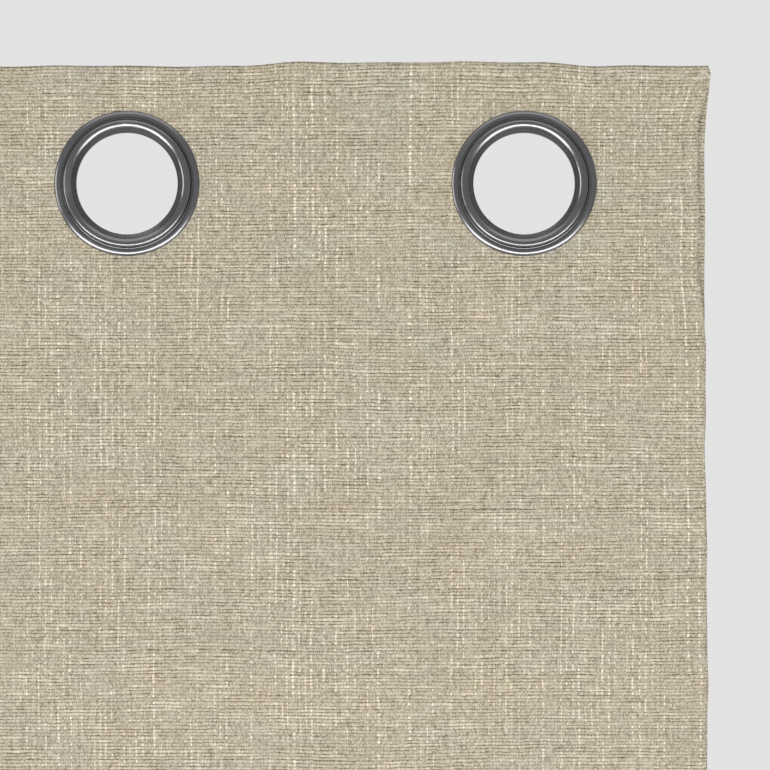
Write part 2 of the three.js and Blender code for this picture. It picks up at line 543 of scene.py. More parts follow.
@dataclass(frozen=True)
class Gunmetal:
    """Polished dark plating, a little cloudy, with a fine grain and pale handling wear."""

    name: str = "gunmetal_plating"
    tone: Colour = (0.225, 0.225, 0.235)
    worn: Colour = (0.34, 0.335, 0.33)
    painted_shade_tone: Colour = (0.065, 0.064, 0.068)

    def make(self) -> bpy.types.Material:
        """Builds the material; the bore's throat and the groove get painted shade: they are blended
        towards a dark tone and made a little rougher.

        Returns:
            The material.
        """
        s = NodeSheet(self.name)
        place = s.object_place()
        shade_mask = s.attribute("shade_mask")
        cloudy = s.noise(place, 55.0, 3.0)
        fine = s.noise(place, 1700.0, 2.0)
        colour = s.blend(cloudy.ramp(0.50, 0.80, 0.0, 0.5), self.tone, self.worn)
        # painted shade: the throat and the groove are darkened towards a dark tone by the shade mask
        colour = s.blend(shade_mask, colour, self.painted_shade_tone)
        rough = 0.19 + cloudy.ramp(0.35, 0.75, 0.0, 0.08) + (fine - 0.5) * 0.10 + shade_mask * 0.12
        s.bump(fine, 0.012 * MM)
        return s.surface(Base_Color=colour, Metallic=1.0, Roughness=rough)


@dataclass(frozen=True)
class Thread:
    """Twisted polyester sewing thread, a shade darker than the cloth."""

    name: str = "sewing_thread"
    tone: Colour = (0.50, 0.44, 0.33)
    shade: Colour = (0.34, 0.29, 0.20)
    twist_pitch: float = 0.35 * MM

    def make(self) -> bpy.types.Material:
        """Builds the material; the twist is a slanting wave in the panel's own frame, which raises the
        strands and paints shade in the grooves between them.

        Returns:
            The material.
        """
        s = NodeSheet(self.name)
        split = s.node("ShaderNodeSeparateXYZ", {}, {"Vector": s.object_place()})
        x, z = Value(s, split.outputs["X"]), Value(s, split.outputs["Z"])
        twist = ((x + z) * (2.0 * math.pi / self.twist_pitch)).sine() * 0.5 + 0.5
        s.bump(twist, 0.03 * MM)
        # painted shade: the twist's grooves are coloured towards the shade colour
        return s.surface(Base_Color=s.blend(twist, self.shade, self.tone), Roughness=0.7)


@dataclass(frozen=True)
class Nonwoven:
    """White bonded stiffener with a pressed dot pattern and stray fibres."""

    name: str = "bonded_interfacing"
    tone: Colour = (0.78, 0.77, 0.73)
    shade: Colour = (0.64, 0.63, 0.60)
    dots_per_metre: float = 3100.0

    def make(self) -> bpy.types.Material:
        """Builds the material; the dots are sin(k u) * sin(k v), with k dots_per_metre.

        Returns:
            The material.
        """
        s = NodeSheet(self.name)
        u, v = s.cloth_place()
        waves = (u * self.dots_per_metre).sine() * (v * self.dots_per_metre).sine()
        dots = waves.ramp(0.2, 0.8)
        fibre = s.noise(s.pair(u * 700.0, v * 700.0), 1.0, 3.0)
        s.bump(fibre - dots * 0.5, 0.06 * MM)
        share = dots * 0.6 + fibre.ramp(0.5, 0.8, 0.0, 0.4)
        return s.surface(Base_Color=s.blend(share, self.tone, self.shade), Roughness=0.9)


@dataclass(frozen=True)
class SatinTape:
    """Blank white satin label tape, with fine ribs along its length."""

    name: str = "satin_label_tape"
    tone: Colour = (0.82, 0.82, 0.79)
    shade: Colour = (0.70, 0.70, 0.68)
    rib_pitch: float = 0.45 * MM

    def make(self) -> bpy.types.Material:
        """Builds the material.

        Returns:
            The material.
        """
        s = NodeSheet(self.name)
        u, v = s.cloth_place()
        ribs = (u * (2.0 * math.pi / self.rib_pitch)).sine() * 0.5 + 0.5
        cloudy = s.noise(s.pair(u * 120.0, v * 60.0), 1.0, 2.0)
        s.bump(ribs, 0.03 * MM)
        # painted shade: the troughs between the ribs are coloured towards the shade colour
        share = ribs * 0.35 + cloudy.ramp(0.4, 0.8, 0.0, 0.4)
        return s.surface(Base_Color=s.blend(share, self.tone, self.shade), Roughness=0.38)


@dataclass(frozen=True)
class StudioFloor:
    """Pale matt studio floor."""

    name: str = "studio_floor"
    tone: Colour = (0.84, 0.84, 0.83)
    dimmed: float = 0.96

    def make(self) -> bpy.types.Material:
        """Builds the material.

        Returns:
            The material.
        """
        s = NodeSheet(self.name)
        cloudy = s.noise(s.object_place(), 0.8, 2.0)
        shade = tuple(self.dimmed * channel for channel in self.tone)
        return s.surface(Base_Color=s.blend(cloudy, self.tone, shade), Roughness=0.8)


class Finish(Enum):
    """The panel's finishes, each made once and shared by the pieces that have it."""

    CLOTH = LinenWeave()
    METAL = Gunmetal()
    THREAD = Thread()
    YARN = Thread("loose_yarn", (0.80, 0.76, 0.66), (0.60, 0.55, 0.45))
    STIFFENER = Nonwoven()
    TAPE = SatinTape()

    def material(self) -> bpy.types.Material:
        """The finish's material, built the first time it is asked for."""
        return bpy.data.materials.get(self.value.name) or self.value.make()

    def put_on(self, piece: bpy.types.Object) -> None:
        """Gives a piece this finish."""
        piece.data.materials.clear()
        piece.data.materials.append(self.material())


# ---- the panel's layout -----------------------------------------------------------------


class Side(Enum):
    """A side of the panel as its face is seen; the value is in its pieces' names."""

    RIGHT = "right"
    LEFT = "left"

    @property
    def outward(self) -> float:
        """The sign of the direction along X that leads out of the panel."""
        return 1.0 if self is Side.RIGHT else -1.0

    def edge(self, layout: "Layout") -> float:
        """Where the panel ends on this side."""
        return layout.right if self is Side.RIGHT else layout.left


@dataclass
class Layout:
    """Where things are on the panel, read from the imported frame."""

    ring_room: float = 1.5 * MM
    band_bend: float = 13.0 * MM
    bore_inset: float = 9.0 * MM
    barrel_inset: float = 8.0 * MM
    centres: list[float] = field(default_factory=list)

    def __post_init__(self) -> None:
        """Reads the grommets' centres, the cloth's edges and the header's thickness."""
        count = sum(name.startswith("grommet_front_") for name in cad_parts)
        rings = [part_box(f"grommet_front_{n}") for n in range(1, count + 1)]
        self.centres = [(low[0] + high[0]) / 2.0 for low, high in rings]
        low, high = rings[0]
        self.flange_radius = (high[0] - low[0]) / 2.0
        self.crest_y = low[1]
        self.back_y = high[1]
        cloth_low, cloth_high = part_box("cloth_strip_1")
        self.half_stack = cloth_high[1]
        self.left, self.bottom, self.top = cloth_low[0], cloth_low[2], cloth_high[2]
        band_low, band_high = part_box("cloth_edge_band")
        self.band_x, self.right = band_low[0], band_high[0]
        hem_low, hem_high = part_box("side_hem_right")
        self.header_seam, self.bottom_seam = hem_high[2], hem_low[2]
        self.hem_width = self.right - self.band_x

    @property
    def count(self) -> int:
        """How many grommets there are."""
        return len(self.centres)

    @property
    def barrel_radius(self) -> float:
        """The outside of a grommet's barrel, which goes through the cloth."""
        return self.flange_radius - self.barrel_inset

    @property
    def keep(self) -> float:
        """How far from a grommet's centre the cloth stays flat when it folds."""
        return self.flange_radius + self.ring_room


@dataclass
class Span:
    """A stretch of cloth between two grommets' centre lines, or from one to a side edge."""

    number: int
    start: float
    stop: float
    first_body: str
    second_body: str
    replaced: str
    bend: tuple[float, float] = (0.0, 0.0)

    def follow(self, piece: bpy.types.Object) -> None:
        """Makes a piece of this stretch move with its body where it has only one; a piece across two
        bodies only has its place baked into its mesh.

        Args:
            piece: a piece whose mesh is final.
        """
        if self.first_body == self.second_body:
            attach(piece, self.first_body)
        else:
            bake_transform(piece)


def spans_of(layout: Layout) -> list[Span]:
    """The stretches from the left edge to the right, each across at most one fold line.

    Args:
        layout: the panel's layout.

    Returns:
        One Span more than there are grommets.
    """
    x, keep = layout.centres, layout.keep
    made = [Span(1, layout.left, x[0], "strip_1", "strip_1", "cloth_strip_1")]
    for n in range(1, layout.count):
        bend = (x[n - 1] + keep, x[n] - keep)
        bodies = (f"strip_{n}", f"strip_{n + 1}")
        made.append(Span(n + 1, x[n - 1], x[n], *bodies, f"cloth_strip_{n + 1}", bend))
    last = layout.count
    bend = (x[-1] + keep, layout.right - layout.band_bend)
    bodies = (f"strip_{last}", "edge_band")
    made.append(Span(last + 1, x[-1], layout.right, *bodies, "cloth_edge_band", bend))
    return made


@dataclass
class Drape:
    """How the hanging cloth departs from a flat plane, as smooth functions of x and z."""

    layout: Layout
    header_relief: float = 0.35 * MM
    hang_relief: float = 9.0 * MM
    top_swell: float = 1.5 * MM
    left_share: float = 0.7
    fold_room: float = 0.8 * MM
    hem_step: float = 0.35 * MM
    seam_step: float = 0.30 * MM
    corner_round: float = 1.0 * MM

    def flat_near_rings(self, x: Array, z: Array) -> Array:
        """A smooth step of the distance to the nearest grommet's centre.

        Args:
            x: places across the panel.
            z: places up it.

        Returns:
            0 under a grommet's flange, rising to 1 away from it.
        """
        nearest = np.min([np.hypot(x - c, z) for c in self.layout.centres], axis=0)
        radius = self.layout.flange_radius
        return smoothstep(radius, 1.9 * radius, nearest)

    def out(self, x: Array, z: Array) -> Array:
        """How far the cloth stands towards +Y: a sum of slow waves.

        In the header the waves are a fraction of a millimetre. Below it they become
        upright folds whose depth grows with the distance below the header's seam. The
        cloth over the right side hem and the header's seam lies a little prouder.

        Args:
            x: places across the panel.
            z: places up it.

        Returns:
            The displacement along +Y.
        """
        lay = self.layout
        below = np.clip(lay.header_seam - z, 0.0, None)
        long_folds = (
            0.55 * np.sin(2 * math.pi * x / 0.332 + 0.7 + 0.55 * z)
            + 0.30 * np.sin(2 * math.pi * x / 0.205 + 2.1 - 0.80 * z)
            + 0.15 * np.sin(2 * math.pi * x / 0.121 + 4.0 + 1.30 * z)
        )
        growth = self.hang_relief * smoothstep(0.0, 1.3, below) ** 1.3
        crumple = (
            np.sin(x * 61.0 + z * 23.0 + 1.0) * np.sin(z * 47.0 - x * 13.0)
            + 0.7 * np.sin(x * 108.0 - z * 31.0 + 2.0) * np.sin(z * 83.0 + x * 29.0 + 0.5)
            + 0.5 * np.sin(x * 37.0 - z * 74.0)
        )
        small = self.header_relief * (0.55 + 0.9 * smoothstep(0.0, 0.08, below)) * crumple / 1.6
        hem_line = lay.right - lay.hem_width - 7.0 * MM * np.exp(-((z + 0.09) / 0.06) ** 2)
        over_hem = smoothstep(-1.5 * MM, 2.5 * MM, x - hem_line)
        proud = self.hem_step * over_hem * smoothstep(0.0, 0.02, below)
        seam = self.seam_step * smoothstep(2.5 * MM, -1.0 * MM, below)
        return (long_folds * growth + small) * self.flat_near_rings(x, z) - proud - seam

    def lift(self, x: Array, z: Array) -> Array:
        """How far the top edge waves up: one low swell in every second bay.

        A swell is a smooth step of the cosine over two grommet pitches. Its height changes
        slowly across the panel, and dies out by the grommets.

        Args:
            x: places across the panel.
            z: places up it.

        Returns:
            The displacement along +Z.
        """
        lay = self.layout
        pitch = lay.centres[1] - lay.centres[0]
        turn = np.cos(math.pi * (x - lay.centres[-1] + 0.26 * pitch) / pitch)
        swell = smoothstep(0.14, 0.60, turn) * (0.90 + 0.15 * np.sin(x * 9.0 - 3.3))
        ripple = 0.10 * np.sin(x * 190.0) + 0.12 * np.sin(x * 83.0 + 1.0)
        near_top = smoothstep(24.0 * MM, 0.0, lay.top - z)
        return self.top_swell * (swell + ripple) * near_top

    def hem_growth(self, z: Array) -> Array:
        """0 where a side hem's turn starts, flat, below the top, rising to 1 where it is full."""
        return smoothstep(2.6, 9.0, (self.layout.top - z) / MM)

    def swing(self, x: Array, z: Array, facing: Array) -> Array:
        """How far the side edges swing out; it dies out 30 mm inside them.

        The face's edge turns in below the corner, runs inside the facing's edge, and comes
        out again just above the header's seam. The facing flares at the corner. Both are
        rounded off over the last few millimetres below the top.

        Args:
            x: places across the panel.
            z: places up it.
            facing: 1 on the header's facing, 0 on the face, and between them over the fold.

        Returns:
            The displacement along X.
        """
        lay = self.layout
        depth = (lay.top - z) / MM
        seam = (lay.top - lay.header_seam) / MM
        face = (
            1.6 - 4.5 * smoothstep(1.0, 27.0, depth) - self.fold_room / MM * self.hem_growth(z)
            + 2.6 * smoothstep(seam - 18.0, seam - 1.0, depth)
            + 0.9 * smoothstep(seam + 30.0, seam + 150.0, depth)
            + 0.5 * np.sin(depth / 61.0) * smoothstep(seam + 150.0, seam + 400.0, depth)
            + 0.18 * np.sin(depth / 4.3) + 0.22 * np.sin(depth / 9.7 + 1.0)
        )
        flare = -0.5 + 2.1 * np.exp(-((depth - 1.0) / 16.0) ** 2) + 0.15 * np.sin(depth / 8.0)
        corner = self.corner_round * smoothstep(2.5, 0.0, depth)
        near_side = smoothstep(30.0 * MM, 0.0, np.minimum(lay.right - x, x - lay.left))
        side = np.where(x > 0.0, 1.0, -self.left_share)
        return side * (MM * (facing * flare + (1.0 - facing) * face) - corner) * near_side


# ---- sub-assemblies ---------------------------------------------------------------------


@dataclass
class PanelCloth:
    """The cloth itself: face, folded header and bottom hem, in stretches of one sheet."""

    layout: Layout
    drape: Drape
    thickness: float = 0.62 * MM
    across_step: float = 2.9 * MM
    header_step: float = 2.7 * MM
    length_step: float = 11.0 * MM
    hole_ease: float = 1.8 * MM

    def path(self) -> tuple[Array, Array, Array]:
        """The cloth's section in Y and Z: up the facing, over, down the face, and the hem.

        The two folds are half circles of radius half_stack - thickness / 2.

        Returns:
            Arrays of y, z and the length along the cloth.
        """
        lay = self.layout
        reach = lay.half_stack - self.thickness / 2.0
        top_centre, bottom_centre = lay.top - lay.half_stack, lay.bottom + lay.half_stack
        turn = math.pi * reach
        fine_end = lay.header_seam - 12.0 * MM
        turn_steps = np.linspace(0.0, math.pi, 9, endpoint=False)
        low_turn = np.linspace(0.0, math.pi, 7, endpoint=False)
        facing = steps(lay.header_seam, top_centre, self.header_step)
        header = steps(top_centre, fine_end, self.header_step)
        face = steps(fine_end, bottom_centre, self.length_step)
        hem = np.append(steps(bottom_centre, lay.bottom_seam, 6.0 * MM), lay.bottom_seam)
        y = np.concatenate([
            np.full(len(facing), reach), reach * np.cos(turn_steps),
            np.full(len(header) + len(face), -reach), -reach * np.cos(low_turn),
            np.full(len(hem), reach),
        ])
        z = np.concatenate([
            facing, top_centre + reach * np.sin(turn_steps),
            header, face, bottom_centre - reach * np.sin(low_turn), hem,
        ])
        facing_length = top_centre - lay.header_seam
        face_length = top_centre - bottom_centre
        length = np.concatenate([
            facing - lay.header_seam,
            facing_length + reach * turn_steps,
            facing_length + turn + (top_centre - np.concatenate([header, face])),
            facing_length + turn + face_length + reach * low_turn,
            facing_length + 2.0 * turn + face_length + (hem - bottom_centre),
        ])
        return y, z, length

    def hole_radius(self) -> float:
        """The hole for the grommet's barrel, hidden under the rings."""
        return self.layout.barrel_radius + self.hole_ease

    def punched(self, x: Array, z: Array, span: Span) -> tuple[Array, Array, Array]:
        """Opens the grommets' holes in a grid, and makes their edges round.

        A quad is dropped if its middle is inside a hole. A point that both a dropped and a
        kept quad use is moved along its radius onto the hole's edge.

        Args:
            x: the grid's places across the panel.
            z: its places up the panel.
            span: the stretch, with its ends on grommet centres.

        Returns:
            The new x and z, and the quads that are left.
        """
        rows, columns = x.shape
        quads = grid_quads(rows, columns)
        radius = self.hole_radius()
        keep = np.ones(len(quads), bool)
        fx, fz = x.ravel().copy(), z.ravel().copy()
        for centre in (span.start, span.stop):
            if min(abs(centre - c) for c in self.layout.centres) > 1e-6:
                continue
            middle = np.hypot(fx[quads].mean(axis=1) - centre, fz[quads].mean(axis=1))
            inside = middle < radius
            keep &= ~inside
            edge = np.intersect1d(quads[inside], quads[~inside])
            away = np.hypot(fx[edge] - centre, fz[edge])
            grow = radius / np.maximum(away, 1e-9)
            on_line = np.abs(fx[edge] - centre) < 1e-9
            fx[edge] = np.where(on_line, fx[edge], centre + (fx[edge] - centre) * grow)
            fz[edge] = fz[edge] * grow
        return fx.reshape(x.shape), fz.reshape(z.shape), quads[keep]

    def surface(self, x: Array, y: Array, z: Array) -> Array:
        """Puts flat places onto the draped cloth.

        Args:
            x: places across the panel.
            y: places through the header.
            z: places up the panel.

        Returns:
            The points, one row each.
        """
        reach = self.layout.half_stack / 2.0
        in_header = z > self.layout.header_seam - 1.0 * MM
        facing = np.where(in_header, smoothstep(-reach, reach, y), 0.0)
        moved_x = x + self.drape.swing(x, z, facing)
        moved_y = y + self.drape.out(x, z)
        moved_z = z + self.drape.lift(x, z)
        return np.stack([moved_x, moved_y, moved_z], axis=-1).reshape(-1, 3)

    def build(self, span: Span) -> bpy.types.Object:
        """One stretch of the cloth.

        Args:
            span: the stretch.

        Returns:
            The piece, with its thickness.
        """
        path_y, path_z, length = self.path()
        count = max(2, round((span.stop - span.start) / self.across_step)) + 1
        across = np.linspace(span.start, span.stop, count)
        x = np.broadcast_to(across[None, :], (len(path_y), count))
        y = np.broadcast_to(path_y[:, None], x.shape)
        z = np.broadcast_to(path_z[:, None], x.shape)
        flat_x, flat_z, quads = self.punched(x, z, span)
        points = self.surface(flat_x, y, flat_z)
        slid = np.where(y < 0.0, z - flat_z, flat_z - z)
        uv = np.stack([flat_x - self.layout.left, length[:, None] + slid], axis=-1).reshape(-1, 2)
        piece = make_piece(f"panel_cloth_{span.number}", points, quads, uv)
        finish_mesh(piece, self.thickness)
        return piece

    def dress(self, span: Span) -> bpy.types.Object:
        """Builds a stretch, gives it its finish and joins it to the frame where the stretch has a single
        body.

        Args:
            span: the stretch.

        Returns:
            The piece.
        """
        piece = self.build(span)
        Finish.CLOTH.put_on(piece)
        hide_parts(span.replaced)
        width = span.stop - span.start
        float(self.path()[2][-1])
        span.follow(piece)
        return piece


@dataclass
class HeaderInterfacing:
    """The stiffener between the header's two layers, in the same stretches."""

    layout: Layout
    cloth: PanelCloth
    thickness: float = 0.25 * MM
    step: float = 3.0 * MM

    def build(self, span: Span, low: float, high: float) -> bpy.types.Object:
        """One stretch of the stiffener.

        Args:
            span: the stretch.
            low: its lower edge.
            high: its upper edge.

        Returns:
            The piece.
        """
        lay = self.layout
        start = max(span.start, lay.left + lay.hem_width)
        stop = min(span.stop, lay.band_x)
        across = np.append(steps(start, stop, self.step), stop)
        up = np.append(steps(low, high, self.step), high)
        x, z = np.meshgrid(across, up)
        y = np.zeros_like(x)
        flat_x, flat_z, quads = self.cloth.punched(x, z, span)
        points = self.cloth.surface(flat_x, y, flat_z)
        uv = np.stack([flat_x - lay.left, flat_z - low], axis=-1).reshape(-1, 2)
        piece = make_piece(f"header_stiffener_{span.number}", points, quads[:, ::-1], uv)
        finish_mesh(piece, self.thickness)
        Finish.STIFFENER.put_on(piece)
        stop - start
        return piece

    def dress(self, spans: Sequence[Span]) -> list[bpy.types.Object]:
        """Builds every stretch and joins it to the frame where the stretch has a single body.

        Args:
            spans: the panel's stretches.

        Returns:
            The pieces.
        """
        low_box, high_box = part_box("header_interfacing_1")
        made = []
        for span in spans:
            piece = self.build(span, low_box[2], high_box[2] - 1.0 * MM)
            if span.number <= self.layout.count:
                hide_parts(f"header_interfacing_{span.number}")
            span.follow(piece)
            made.append(piece)
        return made


@dataclass
class SideHem:
    """A side hem: the cloth turned round the edge and again inside, down one side."""

    layout: Layout
    cloth: PanelCloth
    side: Side
    step: float = 11.0 * MM
    turn_radius: float = 0.50 * MM
    below_top: float = 2.6 * MM
    under_radius: float = 0.3 * MM
    fine_reach: float = 60.0 * MM
    fine_step: float = 3.0 * MM

    @property
    def back_y(self) -> float:
        """The hem's outer face, on the panel's back."""
        return 2.0 * self.turn_radius + self.cloth.thickness - self.layout.half_stack

    def build(self) -> bpy.types.Object:
        """The hem's surface: its path in X and Y, carried down the side.

        The path starts where the face's edge ends, turns half a circle of turn_radius to
        the back, runs in by the hem's width, and turns under by a second half circle. The
        first turn is pressed flat at the hem's top and grows full over a few millimetres.

        Returns:
            The piece.
        """
        lay = self.layout
        edge, inward = self.side.edge(lay), -self.side.outward
        reach = lay.half_stack - self.cloth.thickness / 2.0
        face_y = -reach
        r = self.turn_radius
        width = lay.hem_width - 2.0 * r
        half = np.linspace(-90.0, 90.0, 9)
        first_x = edge - inward * r * np.cos(np.radians(half))
        first_y = face_y + r + r * np.sin(np.radians(half))
        run = np.linspace(0.0, width, 10)[1:]
        under = np.linspace(90.0, -90.0, 7)[1:]
        under_radius = self.under_radius
        last_x = edge + inward * (width + under_radius * np.cos(np.radians(under)))
        last_y = face_y + 2.0 * r - under_radius + under_radius * np.sin(np.radians(under))
        path_x = np.concatenate([first_x, edge + inward * run, last_x])
        path_y = np.concatenate([first_y, np.full(len(run), face_y + 2.0 * r), last_y])
        travel = np.concatenate([[0.0], np.cumsum(np.hypot(np.diff(path_x), np.diff(path_y)))])
        high = lay.top - self.below_top
        fine_end = lay.header_seam - self.fine_reach
        down = np.concatenate([
            steps(high, fine_end, self.fine_step),
            steps(fine_end, lay.bottom_seam, self.step), [lay.bottom_seam],
        ])
        drape = self.cloth.drape
        beyond = np.minimum((path_x - edge) * inward, 0.0) * inward
        inset = beyond - 0.5 * self.cloth.thickness * inward
        x = path_x[None, :] - inset[None, :] * (1.0 - drape.hem_growth(down)[:, None])
        z = np.broadcast_to(down[:, None], x.shape)
        moved_x = x + drape.swing(x, z, np.zeros_like(z))
        moved_y = path_y[None, :] + drape.out(x, z)
        moved_z = z + drape.lift(x, z)
        points = np.stack([moved_x, moved_y, moved_z], axis=-1).reshape(-1, 3)
        across = np.broadcast_to(edge - lay.left + travel[None, :], x.shape)
        uv = np.stack([across, lay.top - z], axis=-1).reshape(-1, 2)
        quads = grid_quads(len(down), len(path_x))
        piece = make_piece(f"side_hem_turn_{self.side.value}", points, quads, uv)
        finish_mesh(piece, self.cloth.thickness)
        return piece

    def dress(self, span: Span) -> bpy.types.Object:
        """Builds the hem, gives it its finish and joins it to the frame where its stretch has a single
        body.

        Args:
            span: the stretch of cloth whose edge it is on.

        Returns:
            The piece.
        """
        piece = self.build()
        Finish.CLOTH.put_on(piece)
        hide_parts(f"side_hem_{self.side.value}")
        span.follow(piece)
        return piece


@dataclass
class GrommetRow:
    """The two-piece snap grommets: rings turned from smooth outlines."""

    layout: Layout
    sides: int = 144
    inner_round: float = 3.0 * MM
    outer_round: float = 1.3 * MM
    press_room: float = 0.3 * MM
    throat_depth: float = 2.4 * MM
    groove_inset: float = 3.10 * MM
    groove_width: float = 0.50 * MM
    # how strong the painted shade is in the throat and in the groove
    throat_shade: float = 0.55
    groove_shade: float = 0.50
    crest_inset: float = 5.0 * MM
    soft: float = 0.35 * MM
    end_round: float = 0.45 * MM

    def front_outline(self) -> Array:
        """The front ring's section, as (radius, y), once round.

        From the bore outwards: a cone up to a round crest, a wall down into a narrow
        groove, and a lip that swells over its inner edge and falls away to the outer edge;
        then the flat underside and the barrel.

        Returns:
            One row for each point.
        """
        lay = self.layout
        outer = lay.flange_radius
        bore, barrel = outer - lay.bore_inset, lay.barrel_radius
        seat = lay.half_stack
        height = -lay.crest_y - seat
        soft, end_round = self.soft, self.end_round
        crest = outer - self.crest_inset
        inner, steep = self.inner_round, self.outer_round
        groove = (outer - 2.95 * MM, 1.50 * MM)
        lip = (outer - 2.10 * MM, -1.20 * MM)
        end = -(lay.back_y + seat)
        outline = np.vstack([
            arc((bore + soft, 0.95 * MM), soft, 180.0, 140.0, 5),
            arc((crest, height - inner), inner, 142.0, 92.0, 21),
            arc((crest, height - steep), steep, 90.0, 6.0, 17),
            arc(groove, 0.76 * MM, 184.0, 288.0, 9),
            arc(lip, 2.45 * MM, 103.0, 32.0, 15),
            [[outer, -0.02 * MM], [outer - 0.1 * MM, -0.12 * MM], [barrel + 0.5 * MM, -0.12 * MM]],
            [[barrel, -0.5 * MM], [barrel, end + end_round]],
            arc((barrel - end_round, end + end_round), end_round, 0.0, -90.0, 5)[1:],
            arc((bore + end_round, end + end_round), end_round, -90.0, -180.0, 5),
        ])
        return np.column_stack([outline[:, 0], -seat - outline[:, 1]])

    def back_outline(self, low: Sequence[float], high: Sequence[float]) -> Array:
        """The back ring's section: a washer with a round outer edge and a shallow groove.

        Args:
            low: the CAD ring's lowest corner.
            high: its highest corner.

        Returns:
            One row of radius and y for each point.
        """
        outer = (high[0] - low[0]) / 2.0
        inner = self.layout.barrel_radius + self.press_room
        near, far = low[1] - 0.25 * MM, high[1]
        soft, edge_round = self.soft, self.outer_round
        return np.vstack([
            [[inner, near], [outer - 0.3 * MM, near]],
            arc((outer - edge_round, far - edge_round), edge_round, 0.0, 90.0, 9),
            arc((inner + 1.15 * MM, far), self.end_round, 0.0, -180.0, 9),
            arc((inner + soft, far - soft), soft, 90.0, 180.0, 5),
        ])

    def shade_mask(self, outline: Array) -> Array:
        """How much painted shade each point of a section gets: the bore's throat and the groove.

        The throat fades over throat_depth from the bore outwards. The groove is a bell
        curve of the radius, exp(-((radius - groove) / width)^2).

        Args:
            outline: one row of radius and y for each point.

        Returns:
            A number from 0 to 1 for each point.
        """
        lay = self.layout
        radius = outline[:, 0]
        bore = lay.flange_radius - lay.bore_inset
        throat = smoothstep(bore + self.throat_depth, bore, radius)
        groove_radius = lay.flange_radius - self.groove_inset
        groove = np.exp(-((radius - groove_radius) / self.groove_width) ** 2)
        return np.maximum(self.throat_shade * throat, self.groove_shade * groove)

    def dress(self, number: int) -> list[bpy.types.Object]:
        """Builds one grommet's two rings and joins them to the frame.

        Args:
            number: the grommet's number, from the left.

        Returns:
            The front ring and the back ring.
        """
        centre = self.layout.centres[number - 1]
        halves = (
            ("grommet_ring", "grommet_front", self.front_outline(), self.sides),
            ("grommet_washer", "grommet_back",
             self.back_outline(*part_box(f"grommet_back_{number}")), self.sides // 2),
        )
        made = []
        for name, node, outline, sides in halves:
            piece = turned_piece(f"{name}_{number}", outline, self.shade_mask(outline), centre, sides)
            finish_mesh(piece, sharp_deg=50.0)
            Finish.METAL.put_on(piece)
            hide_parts(f"{node}_{number}")
            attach(piece, f"strip_{number}")
            made.append(piece)
        return made


class Run(Enum):
    """Which way a row of stitches runs."""

    ACROSS = "across"
    UP = "up"


@dataclass
class Stitching:
    """Lock stitches, each a short round-ended bar of thread lying in the cloth."""

    cloth: PanelCloth
    inset: float = 2.0 * MM
    sunk: float = 0.06 * MM
    pitch: float = 3.2 * MM
    length: float = 2.5 * MM
    radius: float = 0.16 * MM
    sides: int = 6

    def bar(self) -> tuple[Array, Array]:
        """One stitch: a tube whose radius is a half-ellipse of the place along it.

        Returns:
            Points as (along, out, aside), and the quads.
        """
        along = np.linspace(-1.0, 1.0, 7)
        girth = self.radius * np.sqrt(np.clip(1.0 - along ** 4, 0.02, 1.0))
        phi = np.linspace(0.0, 2.0 * math.pi, self.sides, endpoint=False)
        a, p = np.meshgrid(along, phi, indexing="ij")
        g = girth[:, None]
        points = np.stack([a * self.length / 2.0, g * np.cos(p), g * np.sin(p)], axis=-1)
        return points.reshape(-1, 3), grid_quads(len(along), self.sides, wrap_columns=True)

    def row(self, name: str, run: Run, start: float, stop: float, other: float,
            y: float) -> bpy.types.Object:
        """A row of stitches on one face of the cloth.

        Args:
            name: the piece's name.
            run: which way the row runs.
            start: its first place along the run.
            stop: its last.
            other: its place across the run.
            y: the height of the cloth's face through the header.

        Returns:
            The piece, with every stitch a closed bar.
        """
        bar, quads = self.bar()
        places = np.arange(start + self.pitch / 2.0, stop - self.pitch / 4.0, self.pitch)
        along = places[:, None] + bar[None, :, 0]
        aside = np.broadcast_to(other + bar[None, :, 2], along.shape)
        x, z = (along, aside) if run is Run.ACROSS else (aside, along)
        through = np.broadcast_to(y + bar[None, :, 1], along.shape)
        points = self.cloth.surface(x, through, z)
        every = repeated(quads, len(places), len(bar))
        if run is Run.UP:
            every = every[:, ::-1]
        piece = make_piece(name, points, every)
        close_ends(piece)
        finish_mesh(piece)
        Finish.THREAD.put_on(piece)
        return piece


def close_ends(piece: bpy.types.Object) -> None:
    """Fills every open loop of a piece's mesh and points its faces out.

    Args:
        piece: the object, whose mesh is changed.
    """
    work = bmesh.new()
    work.from_mesh(piece.data)
    open_edges = [edge for edge in work.edges if edge.is_boundary]
    bmesh.ops.holes_fill(work, edges=open_edges, sides=0)
    bmesh.ops.recalc_face_normals(work, faces=work.faces)
    work.to_mesh(piece.data)
    work.free()


